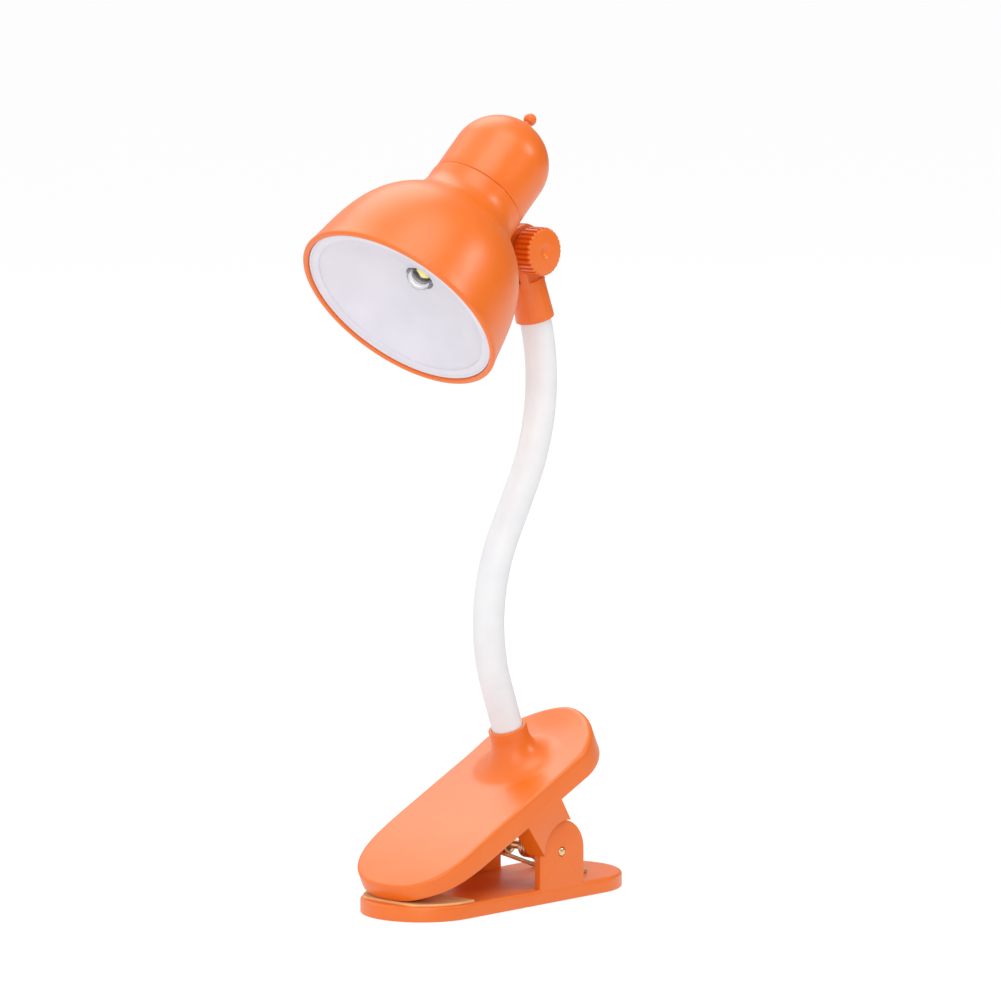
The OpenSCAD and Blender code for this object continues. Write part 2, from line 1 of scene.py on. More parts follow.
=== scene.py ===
"""Clip-on reading lamp: the looks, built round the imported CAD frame.

Shapes are drawn in millimetres in the frame of their own part, and placed in the row frame in metres.
"""

import json
import math

import bmesh
import bpy
import numpy as np
from mathutils import Matrix, Vector


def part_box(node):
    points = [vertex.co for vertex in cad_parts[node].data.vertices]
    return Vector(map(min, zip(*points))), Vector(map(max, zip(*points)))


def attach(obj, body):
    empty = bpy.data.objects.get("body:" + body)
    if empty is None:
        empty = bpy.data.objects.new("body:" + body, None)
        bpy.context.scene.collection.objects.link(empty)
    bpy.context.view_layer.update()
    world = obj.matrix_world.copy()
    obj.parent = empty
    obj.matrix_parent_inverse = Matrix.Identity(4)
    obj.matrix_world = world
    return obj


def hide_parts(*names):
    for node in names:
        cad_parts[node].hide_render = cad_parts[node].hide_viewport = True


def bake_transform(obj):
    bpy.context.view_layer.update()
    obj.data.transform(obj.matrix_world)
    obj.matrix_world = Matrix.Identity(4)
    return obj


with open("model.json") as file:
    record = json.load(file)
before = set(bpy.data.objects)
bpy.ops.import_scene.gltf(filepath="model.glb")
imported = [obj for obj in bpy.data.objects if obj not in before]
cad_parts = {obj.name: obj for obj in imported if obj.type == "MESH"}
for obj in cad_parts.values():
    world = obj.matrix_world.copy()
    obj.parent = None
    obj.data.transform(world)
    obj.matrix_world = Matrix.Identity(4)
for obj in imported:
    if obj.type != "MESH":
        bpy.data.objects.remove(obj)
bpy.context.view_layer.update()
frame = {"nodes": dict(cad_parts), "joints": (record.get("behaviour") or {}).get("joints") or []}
NODES = frame["nodes"]
JOINTS = {joint["name"]: joint for joint in frame["joints"]}
MM = 0.001
WELD = 2e-6                    # points closer than this, in metres, are one point


# ---- places, from the frame's joints ----

def joint_place(name):
    """A joint's point, in millimetres."""
    return np.array(JOINTS[name]["pos_m"]) / MM


def leaning(heading):
    """Unit vector in the XZ plane, heading degrees from up towards +X."""
    angle = math.radians(heading)
    return np.array([math.sin(angle), 0.0, math.cos(angle)])


def placed(point, heading):
    """From a part's own millimetres to the row frame, with local Z leaning by heading."""
    move = Matrix.Translation(Vector(point) * MM)
    return move @ Matrix.Rotation(math.radians(heading), 4, "Y") @ Matrix.Scale(MM, 4)


PIN = joint_place("jaw_open")
PIVOT = joint_place("head_tilt")
HEAD_AXIS = np.array(JOINTS["cap_twist"]["axis"])
HEAD_HEADING = math.degrees(math.atan2(HEAD_AXIS[0], HEAD_AXIS[2]))
CAP_JOINT_A = 50               # from the shade's rim to the cap's joint
RIM_CENTRE = joint_place("cap_twist") - CAP_JOINT_A * HEAD_AXIS
JAW_SLOPE = 25.5
LOW_HEADING = -20.0
TOP_HEADING = -17.0
FIRST_BEND = 8                 # from the boss's rim to the neck's first joint
NECK_START = joint_place("neck_bend_1") - FIRST_BEND * leaning(LOW_HEADING)

ROW = placed((0, 0, 0), 0)
JAW = placed(PIN, -JAW_SLOPE)
HEAD = placed(RIM_CENTRE, HEAD_HEADING)
TILT = placed(PIVOT, TOP_HEADING)
SIDEWAYS = Matrix.Rotation(math.radians(90), 4, "X")    # local Y up, local Z towards -Y


# ---- outlines ----

def rounded(corners, closed=False, steps=5):
    """Points along (x, y, radius) corners, each rounded to its radius."""
    points = []
    count = len(corners)
    for i, (x, y, radius) in enumerate(corners):
        here = np.array([x, y], float)
        end = not closed and i in (0, count - 1)
        if radius == 0 or end:
            points.append(here)
            continue
        back = np.array(corners[i - 1][:2]) - here
        ahead = np.array(corners[(i + 1) % count][:2]) - here
        back = back / np.linalg.norm(back)
        ahead = ahead / np.linalg.norm(ahead)
        half = math.acos(max(-1.0, min(1.0, float(back @ ahead)))) / 2
        middle = (back + ahead) / np.linalg.norm(back + ahead)
        centre = here + middle * radius / math.sin(half)
        start = here + back * radius / math.tan(half) - centre
        finish = here + ahead * radius / math.tan(half) - centre
        first = math.atan2(start[1], start[0])
        turn = (math.atan2(finish[1], finish[0]) - first + math.pi) % (2 * math.pi) - math.pi
        for k in range(steps + 1):
            angle = first + turn * k / steps
            points.append(centre + radius * np.array([math.cos(angle), math.sin(angle)]))
    return np.array(points)


def rounded_box(low, high, half_width, radius):
    """A rounded rectangle from low to high along X, and half_width each way along Y."""
    corners = [(low, -half_width), (high, -half_width), (high, half_width), (low, half_width)]
    return rounded([(x, y, radius) for x, y in corners], closed=True)


def arc(centre, radius, start, end, steps):
    """Points on an arc, with its angles in degrees."""
    angles = np.radians(np.linspace(start, end, steps + 1))
    return np.c_[centre[0] + radius * np.cos(angles), centre[1] + radius * np.sin(angles)]


def stadium(low, high, width, count):
    """Evenly spaced points round a stadium along X, and the outward direction at each."""
    r = width / 2
    straight = high - low - width
    half_turn = math.pi * r
    points = []
    outward = []
    for s in np.arange(count) / count * 2 * (straight + half_turn):
        if s < half_turn / 2 or s >= 2 * straight + 1.5 * half_turn:
            t = (s if s < half_turn / 2 else s - 2 * (straight + half_turn)) / r
            normal = (math.cos(t), math.sin(t))
            base = (high - r, 0)
        elif s < half_turn / 2 + straight:
            normal = (0, 1)
            base = (high - r - (s - half_turn / 2), 0)
        elif s < 1.5 * half_turn + straight:
            t = (s - straight) / r
            normal = (math.cos(t), math.sin(t))
            base = (low + r, 0)
        else:
            normal = (0, -1)
            base = (low + r + (s - 1.5 * half_turn - straight), 0)
        points.append((base[0] + r * normal[0], base[1] + r * normal[1]))
        outward.append(normal)
    return np.array(points), np.array(outward)


def evenly(points, count):
    """A closed outline sampled again at even steps along its length."""
    ring = np.vstack([points, points[:1]])
    travel = np.r_[0, np.cumsum(np.linalg.norm(np.diff(ring, axis=0), axis=1))]
    stops = np.arange(count) / count * travel[-1]
    return np.c_[np.interp(stops, travel, ring[:, 0]), np.interp(stops, travel, ring[:, 1])]


def outward_of(points):
    """Outward direction at each point of a closed outline that runs anticlockwise."""
    along = np.roll(points, -1, 0) - np.roll(points, 1, 0)
    normal = np.c_[along[:, 1], -along[:, 0]]
    return normal / np.linalg.norm(normal, axis=1)[:, None]


def edge_levels(low, high, low_r, high_r, steps=4):
    """(inset, height) steps up the side of a slab whose edges are rounded."""
    quarter = np.linspace(0, math.pi / 2, steps + 1)
    rising = [(low_r * (1 - math.sin(t)), low + low_r * (1 - math.cos(t))) for t in quarter]
    closing = [(high_r * (1 - math.cos(t)), high - high_r * (1 - math.sin(t))) for t in quarter]
    return rising + closing


# ---- shapes: each is (points, faces) in a part's own millimetres ----

def skin(rings, caps=True, loop=False):
    """Faces over closed rings of the same number of points."""
    rings = np.asarray(rings)
    count, across = rings.shape[:2]
    faces = []
    for i in range(count if loop else count - 1):
        after = (i + 1) % count
        for k in range(across):
            side = (k + 1) % across
            faces.append((i * across + k, i * across + side, after * across + side, after * across + k))
    if caps and not loop:
        faces.append(tuple(reversed(range(across))))
        faces.append(tuple((count - 1) * across + k for k in range(across)))
    return rings.reshape(-1, 3), faces


def slab(points, outward, levels):
    """A flat shape with an outline in XY and a side that follows (inset, height) levels."""
    return skin([np.c_[points - inset * outward, np.full(len(points), height)] for inset, height in levels])


def turned(outline, sides=128, loop=False):
    """An (r, z) outline turned about Z. It ends on the axis, or closes on itself."""
    angles = np.arange(sides) * 2 * math.pi / sides
    rings = [np.c_[r * np.cos(angles), r * np.sin(angles), np.full(sides, z)] for r, z in outline]
    return skin(rings, caps=False, loop=loop)


def swept(path, radius, sides=16):
    """A round wire along a path, with its ends closed."""
    path = np.asarray(path, float)
    ahead = np.gradient(path, axis=0)
    ahead /= np.linalg.norm(ahead, axis=1)[:, None]
    side = np.cross(ahead[0], (0.3, 0.1, 0.95))
    angles = np.arange(sides) * 2 * math.pi / sides
    rings = []
    for point, t in zip(path, ahead):
        side = side - (side @ t) * t
        side /= np.linalg.norm(side)
        over = np.cross(t, side)
        rings.append(point + radius * (np.outer(np.cos(angles), side) + np.outer(np.sin(angles), over)))
    return skin(rings)


def moved(shape, matrix):
    """A shape through a matrix."""
    points, faces = shape
    turn = np.array(matrix)
    return np.asarray(points) @ turn[:3, :3].T + turn[:3, 3], faces


def joined(*shapes):
    """Several shapes as one."""
    points = []
    faces = []
    start = 0
    for part, part_faces in shapes:
        points.append(part)
        faces += [tuple(start + i for i in face) for face in part_faces]
        start += len(part)
    return np.concatenate(points), faces


def piece(name, shape, place, finish, body=None, stands_for=(), sharp=40):
    """A visible piece: its shape placed in the row frame, smooth but for its sharp edges."""
    points, faces = moved(shape, place)
    mesh = bpy.data.meshes.new(name)
    mesh.from_pydata(points.tolist(), [], faces)
    work = bmesh.new()
    work.from_mesh(mesh)
    bmesh.ops.remove_doubles(work, verts=work.verts, dist=WELD)
    bmesh.ops.recalc_face_normals(work, faces=work.faces)
    work.to_mesh(mesh)
    work.free()
    return finished(name, mesh, finish, body, stands_for, sharp)


def finished(name, mesh, finish, body, stands_for, sharp):
    """Shades a mesh, makes its object, and ties it to its body and CAD nodes."""
    mesh.shade_smooth()
    mesh.set_sharp_from_angle(angle=math.radians(sharp))
    mesh.materials.clear()
    mesh.materials.append(finish)
    obj = bpy.data.objects.new(name, mesh)
    bpy.context.scene.collection.objects.link(obj)
    if body:
        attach(obj, body)
    if stands_for:
        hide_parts(*stands_for)
    return obj


def softened(name, node, width, finish, body):
    """A CAD node with the same shape and its edges rounded."""
    flat_angle = math.radians(1.5)
    edge_angle = math.radians(30)
    mesh = NODES[node].data.copy()
    work = bmesh.new()
    work.from_mesh(mesh)
    bmesh.ops.remove_doubles(work, verts=work.verts, dist=WELD)
    bmesh.ops.dissolve_limit(work, angle_limit=flat_angle, verts=work.verts, edges=work.edges)
    crisp = [e for e in work.edges if len(e.link_faces) == 2 and e.calc_face_angle() > edge_angle]
    bmesh.ops.bevel(work, geom=crisp, offset=width * MM, segments=3, profile=0.5,
                    affect="EDGES", clamp_overlap=True)
    clean = bpy.data.meshes.new(name)
    work.to_mesh(clean)
    work.free()
    return finished(name, clean, finish, body, (node,), sharp=40)


# ---- materials ----

def material(name, base, roughness, **sockets):
    """A Principled material, with other sockets set by their names, such as Coat_Weight."""
    made = bpy.data.materials.new(name)
    made.use_nodes = True
    shader = made.node_tree.nodes["Principled BSDF"]
    shader.inputs["Base Color"].default_value = (*base, 1)
    shader.inputs["Roughness"].default_value = roughness
    for socket, value in sockets.items():
        shader.inputs[socket.replace("_", " ")].default_value = value
    return made


def noise(made, scale):
    """A noise texture fixed to the piece, and its factor socket. Scale is in features a metre."""
    tree = made.node_tree
    where = tree.nodes.get("Texture Coordinate") or tree.nodes.new("ShaderNodeTexCoord")
    texture = tree.nodes.new("ShaderNodeTexNoise")
    texture.inputs["Scale"].default_value = scale
    texture.inputs["Detail"].default_value = 3.0
    tree.links.new(where.outputs["Object"], texture.inputs["Vector"])
    return texture.outputs["Fac"]


def ramp(made, factor, stops):
    """A colour ramp over a factor; stops are (place, colour)."""
    node = made.node_tree.nodes.new("ShaderNodeValToRGB")
    for i, (place, colour) in enumerate(stops):
        element = node.color_ramp.elements[i] if i < 2 else node.color_ramp.elements.new(place)
        element.position = place
        element.color = (*colour, 1)
    made.node_tree.links.new(factor, node.inputs["Fac"])
    return node.outputs["Color"]


def tint(made, scale, light, dark):
    """Base colour that drifts between two close colours."""
    colour = ramp(made, noise(made, scale), [(0.35, dark), (0.65, light)])
    shader = made.node_tree.nodes["Principled BSDF"]
    made.node_tree.links.new(colour, shader.inputs["Base Color"])


def rough_drift(made, scale, low, high):
    """Roughness that drifts between two values."""
    tree = made.node_tree
    spread = tree.nodes.new("ShaderNodeMapRange")
    spread.inputs["To Min"].default_value = low
    spread.inputs["To Max"].default_value = high
    tree.links.new(noise(made, scale), spread.inputs["Value"])
    tree.links.new(spread.outputs["Result"], tree.nodes["Principled BSDF"].inputs["Roughness"])


def grain(made, scale, depth, strength):
    """Bump of a given depth in metres."""
    tree = made.node_tree
    factor = noise(made, scale)
    bump = tree.nodes.new("ShaderNodeBump")
    bump.inputs["Strength"].default_value = strength
    bump.inputs["Distance"].default_value = depth
    tree.links.new(factor, bump.inputs["Height"])
    tree.links.new(bump.outputs["Normal"], tree.nodes["Principled BSDF"].inputs["Normal"])


def orange_plastic():
    """Satin moulded plastic with a fine spark-eroded grain."""
    made = material("satin_orange", (0.77, 0.146, 0.006), 0.36, Specular_IOR_Level=0.58)
    tint(made, 90, (0.775, 0.149, 0.007), (0.76, 0.140, 0.005))
    rough_drift(made, 700, 0.33, 0.40)
    grain(made, 4200, 0.00003, 0.3)
    return made


def white_silicone():
    """Soft matt silicone, a little cool."""
    made = material("white_silicone", (0.73, 0.73, 0.74), 0.5)
    tint(made, 120, (0.75, 0.75, 0.76), (0.71, 0.71, 0.725))
    grain(made, 2600, 0.00003, 0.3)
    return made


def white_reflector():
    """Smooth white plastic with a faint violet cast."""
    made = material("reflector_white", (0.67, 0.65, 0.71), 0.32)
    tint(made, 80, (0.69, 0.67, 0.73), (0.65, 0.63, 0.69))
    grain(made, 1500, 0.00002, 0.25)
    return made


def metal(name, base, roughness):
    """Metal with fine marks and a drifting polish."""
    marks = 1500
    made = material(name, base, roughness, Metallic=1.0)
    tint(made, 300, base, tuple(c * 0.86 for c in base))
    rough_drift(made, marks, roughness - 0.07, roughness + 0.08)
    grain(made, marks, 0.00001, 0.3)
    return made


def plain(name, base, roughness, scale, depth=0.00003, **sockets):
    """Plastic, rubber or board with a little drift in its colour and a fine grain."""
    made = material(name, base, roughness, **sockets)
    tint(made, 200, tuple(min(1, c * 1.06) for c in base), tuple(c * 0.92 for c in base))
    grain(made, scale, depth, 0.4)
    return made


def clear_plastic():
    """Clear moulded lens with faint flow marks."""
    made = material("led_clear", (1, 1, 1), 0.03, Transmission_Weight=1.0, IOR=1.49)
    tint(made, 900, (1, 1, 1), (0.97, 0.98, 1))
    rough_drift(made, 900, 0.02, 0.07)
    return made


ORANGE = orange_plastic()
SLEEVE = white_silicone()
WHITE = white_reflector()
BRASS = metal("pin_brass", (0.83, 0.62, 0.32), 0.3)
SPRING = metal("spring_wire", (0.78, 0.62, 0.38), 0.28)
STEEL = metal("screw_steel", (0.62, 0.62, 0.64), 0.3)
FERRULE = metal("ferrule_brass", (0.75, 0.58, 0.30), 0.35)
CORE = metal("core_steel", (0.50, 0.50, 0.52), 0.4)
CELL = metal("cell_steel", (0.70, 0.70, 0.71), 0.22)
CONTACT = metal("contact_metal", (0.78, 0.70, 0.52), 0.25)
RUBBER = plain("grip_rubber", (0.78, 0.40, 0.16), 0.75, 1800, 0.00005)
BOARD = plain("board_white", (0.82, 0.83, 0.82), 0.4, 2500)
BLACK = plain("holder_black", (0.025, 0.025, 0.028), 0.45, 2500)
CERAMIC = plain("resistor_black", (0.03, 0.03, 0.03), 0.35, 4000)
WIRE = plain("lead_red", (0.55, 0.03, 0.03), 0.4, 2500)
PHOSPHOR = plain("led_phosphor", (0.95, 0.80, 0.22), 0.6, 6000,
                 Emission_Color=(1.0, 0.85, 0.35, 1), Emission_Strength=0.35)
SLUG = plain("led_slug", (0.10, 0.10, 0.11), 0.35, 4000, Metallic=0.6)
CLEAR = clear_plastic()


# ---- clip ----

OUTLINE_POINTS = 240
BASE_LENGTH = 92.6
BASE_WIDTH = 35.2
BASE_THICK = 4.4
EAR_R = 9.1
EAR_THICK = 2.6
GAP = 0.3                      # air between the ears and the webs
PIN_R = 1.3
JAW_WIDTH = 39.0
JAW_TOP = 22.0
JAW_DEPTH = 7.0
JAW_WALL = 1.8
JAW_MOUTH = -51.6
JAW_TAIL = 36.1
MOUTH_END = (22.4, 2.57)       # length of the rounded end, and the exponent of its curve
TAIL_END = (19.3, 1.74)
TAIL_LIFT = 3.1                # how far the top curves up from TAIL_LIFT_X, over CURVE_RUN
TAIL_LIFT_X = 5
MOUTH_DROP = 2.3               # and down from MOUTH_DROP_X
MOUTH_DROP_X = -20
CURVE_RUN = 30
THUMB_DISH = (24.5, 2)         # middle of the shallow dish behind the boss
THUMB_DISH_SIZE = (8.5, 9.5)
THUMB_DISH_DEPTH = 0.8
WEB_THICK = 2.3
WEB_OUT = BASE_WIDTH / 2 - EAR_THICK - GAP
WEB_END_R = 6.4

TO_JAW = np.array(JAW.inverted())
BOSS_LEAN = LOW_HEADING + JAW_SLOPE
BOSS_AXIS = leaning(BOSS_LEAN)
BOSS_RIM = TO_JAW[:3, :3] @ (NECK_START * MM) + TO_JAW[:3, 3]
BOSS_FOOT_DEPTH = (BOSS_RIM[2] - JAW_TOP) / BOSS_AXIS[2]
BOSS_FOOT = BOSS_RIM - BOSS_FOOT_DEPTH * BOSS_AXIS
BOSS_R = 5.6
BORE_R = 4.56
BORE_DEPTH = 9.2
FLARE = 8.5
FLARE_START = 2.4
POST_R = 7.1
POST_DEPTH = 14
SCREW_HOLE_R = 1.5

COIL_R = 2.6
COIL_TURNS = 4
COIL_IN = 3.2                  # from the lamp's middle to the inner end of each coil
COIL_PITCH = 1.4
FOOT_ANGLE = math.radians(-21)
FOOT_REACH = 18.4
LOOP_ANGLE = math.radians(62)
LOOP_REACH = 30.8
SPRING_WIRE_R = 0.65


def ring_round(centre, radius, bearings, lean=0.0):
    """A ring of points about centre, its plane leaning towards +X."""
    turn = math.radians(lean)
    across = np.array([math.cos(turn), 0, -math.sin(turn)])
    points = np.outer(np.cos(bearings), across) + np.outer(np.sin(bearings), (0, 1, 0))
    return np.asarray(centre) + radius * points


def lower_jaw():
    """The plate, and two ears with a chamfered hole for the pin."""
    sunk = 1.1                 # the ears start inside the plate
    outer = BASE_WIDTH / 2 - 0.02
    inner = BASE_WIDTH / 2 - EAR_THICK
    points, outward = stadium(-BASE_LENGTH / 2, BASE_LENGTH / 2, BASE_WIDTH, OUTLINE_POINTS)
    plate = slab(points, outward, edge_levels(0, BASE_THICK, 0.4, 0.9, steps=5))
    foot = BASE_THICK - sunk - PIN[2]
    ears = [ear(foot, inner, outer), ear(foot, -outer, -inner)]
    place = Matrix.Translation(Vector(PIN)) @ SIDEWAYS
    shape = joined(plate, *[moved(e, place) for e in ears])
    piece("lower_jaw_shell", shape, ROW, ORANGE, "lower_jaw", ("lower_jaw",))


def ear(foot, low, high):
    """A round-topped ear about the pin: local X along the lamp, Y up, Z through it."""
    bore = PIN_R + 0.05
    chamfer = 0.25
    edge = 0.45
    top = arc((0, 0), EAR_R, 0, 180, 48)
    sides = np.linspace(0, 1, 13)[1:-1]
    left = np.c_[np.full(len(sides), -EAR_R), foot * sides]
    right = np.c_[np.full(len(sides), EAR_R), foot * (1 - sides)]
    across = np.linspace(-EAR_R, EAR_R, 21)
    bottom = np.c_[across, np.full(len(across), foot)]
    points = np.concatenate([top, left, bottom, right])
    outward = outward_of(points)
    outward[np.abs(points[:, 1] - foot) < 1e-6] = (0, -1)
    bearings = np.arctan2(points[:, 1], points[:, 0])

    def hole(radius, z):
        return np.c_[radius * np.cos(bearings), radius * np.sin(bearings), np.full(len(points), z)]

    rings = [hole(bore, low + chamfer), hole(bore + chamfer, low)]
    rings += [np.c_[points - inset * outward, np.full(len(points), z)]
              for inset, z in edge_levels(low, high, edge, edge)]
    rings += [hole(bore + chamfer, high), hole(bore, high - chamfer)]
    return skin(rings, loop=True)


def jaw_outline(count):
    """The upper jaw's outline: straight sides between two superelliptic ends."""
    def end(length, exponent, middle, low, high):
        t = np.radians(np.linspace(low, high, 400))
        x = np.sign(np.cos(t)) * np.abs(np.cos(t)) ** (2 / exponent)
        y = np.sign(np.sin(t)) * np.abs(np.sin(t)) ** (2 / exponent)
        return np.c_[middle + length * x, JAW_WIDTH / 2 * y]

    tail = end(*TAIL_END, JAW_TAIL - TAIL_END[0], -90, 90)
    mouth = end(*MOUTH_END, JAW_MOUTH + MOUTH_END[0], 90, 270)
    return evenly(np.vstack([tail, mouth[:-1]]), count)


def eased(t):
    """From 0 to 1 with a soft start and a soft end."""
    return t * t * (3 - 2 * t)


def ridge_radius(x):
    """The upper jaw's top edge is crisp at the mouth, 0.8 mm, and softer at the tail, 1.7 mm."""
    return 0.8 + 0.9 * eased(np.clip((x - 2) / 30, 0, 1))


def top_height(x, y):
    """The upper jaw's top: it falls to the mouth, lifts to the tail, and is dished behind the boss."""
    lift = TAIL_LIFT * (np.maximum(x - TAIL_LIFT_X, 0) / CURVE_RUN) ** 2
    drop = MOUTH_DROP * (np.maximum(MOUTH_DROP_X - x, 0) / CURVE_RUN) ** 2
    along = (x - THUMB_DISH[0]) / THUMB_DISH_SIZE[0]
    across = (y - THUMB_DISH[1]) / THUMB_DISH_SIZE[1]
    dish = THUMB_DISH_DEPTH * np.exp(-(along ** 2 + across ** 2) * 1.3)
    return JAW_TOP + lift - drop - dish


def boss_ring(bearings, radius, depth, settle=0.0):
    """A ring round the boss at a depth under its rim; settle, 0 to 1, lays it on the jaw's top."""
    ring = ring_round(BOSS_RIM - depth * BOSS_AXIS, radius, bearings, lean=BOSS_LEAN * (1 - settle))
    ring[:, 2] += settle * (top_height(ring[:, 0], ring[:, 1]) - JAW_TOP)
    return ring


def boss_rings(bearings):
    """Up the bore, over the rim, and down the flare to the jaw's top."""
    rings = [boss_ring(bearings, BORE_R, depth) for depth in (BORE_DEPTH, 6, 3, 0.5)]
    lip = rounded([(BORE_R, 0.5, 0), (BORE_R, 0, 0.3), (BOSS_R, 0, 0.45), (BOSS_R, FLARE_START, 0)])
    rings += [boss_ring(bearings, r, depth) for r, depth in lip[1:]]
    for angle in np.radians(np.linspace(0, 90, 23)[1:]):
        t = math.sin(angle)
        depth = FLARE_START + (BOSS_FOOT_DEPTH - FLARE_START) * t
        rings.append(boss_ring(bearings, BOSS_R + FLARE * (1 - math.cos(angle)), depth, eased(t)))
    return rings


def top_rings(start, points, outward):
    """Across the top from the boss's foot, and over the rounded edge."""
    radius = ridge_radius(points[:, 0])
    edge = points - outward * radius[:, None]
    rings = []
    for t in np.linspace(0, 1, 25)[1:]:
        flat = start + (edge - start) * t
        rings.append(np.c_[flat, top_height(flat[:, 0], flat[:, 1])])
    edge_top = top_height(edge[:, 0], edge[:, 1])
    for t in np.linspace(0, math.pi / 2, 7)[1:]:
        flat = points - outward * (radius * (1 - math.sin(t)))[:, None]
        rings.append(np.c_[flat, edge_top - radius * (1 - math.cos(t))])
    return rings


def skirt_rings(points, outward):
    """Down the cover's side and round its lower edge, which hangs a little lower at the mouth's tip."""
    tip_x = -48.5
    tip_drop = 0.5
    tip = np.clip((tip_x - points[:, 0]) / 3, 0, 1)
    low = JAW_TOP - JAW_DEPTH - tip_drop * tip
    steps = ((0, 1.2), (0, 0.35), (0.1, 0.1), (0.35, 0), (JAW_WALL - 0.3, 0), (JAW_WALL, 0.3))
    return [np.c_[points - outward * inset, low + height] for inset, height in steps]


def underside(flat):
    """XY points on the underside of the cover's top."""
    return np.c_[flat, top_height(flat[:, 0], flat[:, 1]) - JAW_WALL]


def lining_rings(points, outward, bearings):
    """Up inside the skirt, across the underside, and round the post back to the bore."""
    corner = 0.6
    lining = underside(points - outward * (JAW_WALL + corner))
    rings = [underside(points - outward * JAW_WALL) - (0, 0, corner), lining]
    post = ring_round((BOSS_FOOT[0] + 0.2, 0, 0), POST_R + 1.1, bearings)[:, :2]
    for t in (0.25, 0.5, 0.75, 1):
        rings.append(underside(lining[:, :2] + (post - lining[:, :2]) * t))
    steps = ((POST_R + 0.3, POST_DEPTH - 0.6), (POST_R, POST_DEPTH), (SCREW_HOLE_R, POST_DEPTH),
             (SCREW_HOLE_R, BORE_DEPTH))
    return rings + [boss_ring(bearings, r, depth) for r, depth in steps]


def upper_jaw_cover():
    """The hollow cover and the neck's boss, as one closed skin round from the bore."""
    points = jaw_outline(OUTLINE_POINTS)
    outward = outward_of(points)
    bearings = np.arctan2(points[:, 1], points[:, 0] - BOSS_FOOT[0])
    rings = boss_rings(bearings)
    rings += top_rings(rings[-1][:, :2], points, outward)
    rings += skirt_rings(points, outward)
    rings += lining_rings(points, outward, bearings)
    return skin(rings, loop=True)


def web(side):
    """A side web: in line with the cover's wall down to an arch over the ear, then in behind the ear."""
    steps = 40
    edge = 0.25
    wall = JAW_WIDTH / 2 + 0.015
    inside = WEB_OUT - 0.3
    top = JAW_TOP - JAW_DEPTH + 2.5
    heights = np.linspace(0, top, steps)    # above the pin, with the web's reach at each
    right = np.c_[np.interp(heights, (0, 7.2, 21), (WEB_END_R, 5.4, 4.0)), heights]
    left = np.c_[-np.interp(heights, (0, 4, 21), (WEB_END_R, 8.5, 11.8)), heights][::-1]
    whole = np.concatenate([right, left, arc((0, 0), WEB_END_R, 180, 360, 24)[1:-1]])
    behind = slab(whole, outward_of(whole), edge_levels(WEB_OUT - WEB_THICK, WEB_OUT, 0.3, edge))
    rings = []
    ridge = np.c_[np.linspace(left[0, 0], right[-1, 0], steps + 1), np.full(steps + 1, top)]
    for low, high in zip(arc((0, 0), EAR_R + GAP, 154.6, 55.3, steps), ridge):
        up = edge * (high - low) / np.linalg.norm(high - low)
        rings.append([(*low, inside), (*low, wall - edge), (*(low + 0.3 * up), wall - 0.3 * edge),
                      (*(low + up), wall), (*high, wall), (*high, inside)])
    beside = skin(rings)
    return moved(joined(behind, beside), Matrix.Diagonal((1, -side, 1, 1)) @ SIDEWAYS)


def mouth_block():
    """The block under the cover that carries the upper pad, in the row frame's millimetres."""
    low = 6
    high = 8
    front = -41.6
    back = -34.5
    half_width = 8
    lean = math.tan(math.radians(JAW_SLOPE))
    rings = []
    for inset, z in edge_levels(low, high, 0.4, 0):
        points = rounded_box(front - lean * (z - low), back, half_width, 0.8)
        rings.append(np.c_[points - inset * outward_of(points), np.full(len(points), z)])
    rings.append(np.c_[points, block_top(points)])
    return skin(rings)


def block_top(points):
    """Height of the cover's underside over points of the row frame."""
    slope = math.radians(JAW_SLOPE)
    rough_top = 20             # the underside's height over the pin, near enough to find its X
    sunk = 1                   # the block ends inside the cover's wall
    along = (points[:, 0] - PIN[0] + rough_top * math.sin(slope)) / math.cos(slope)
    height = top_height(along, points[:, 1]) - sunk
    return PIN[2] + along * math.sin(slope) + height * math.cos(slope)


def upper_jaw():
    """The cover, its two webs and the mouth block, as one moulding."""
    to_jaw = JAW.inverted() @ ROW
    shape = joined(upper_jaw_cover(), web(-1), web(1), moved(mouth_block(), to_jaw))
    piece("upper_jaw_shell", shape, JAW, ORANGE, "upper_jaw", ("upper_jaw",), sharp=35)


def pad(name, node, body, points, edges):
    """A thin moulded grip pad as high as its CAD node; edges are its lower and upper edge radii."""
    low, high = (np.array(corner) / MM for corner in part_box(node))
    shape = slab(points, outward_of(points), edge_levels(low[2], high[2], *edges))
    piece(name, shape, ROW, RUBBER, body, (node,))


def grip_pads():
    """The lower pad fills the plate from near its tip; the upper one is on the mouth block."""
    margin = 0.8
    tip = -43
    tip_half = 6
    back = -25
    back_half = BASE_WIDTH / 2 - margin
    edge, outward = stadium(-BASE_LENGTH / 2, BASE_LENGTH / 2, BASE_WIDTH, OUTLINE_POINTS)
    edge = edge - margin * outward
    kept = edge[(edge[:, 0] > tip) & (edge[:, 0] < back)]
    far = kept[kept[:, 1] > 0]
    near = kept[kept[:, 1] < 0]
    lower = np.vstack([[(back, -back_half), (back, back_half)], far,
                       [(tip, tip_half), (tip, -tip_half)], near])
    pad("lower_pad_moulded", "lower_grip_pad", "lower_jaw", lower, (0.02, 0.25))
    pad("upper_pad_moulded", "upper_grip_pad", "upper_jaw", rounded_box(-41.2, -34.6, 7, 1.2), (0.25, 0.02))


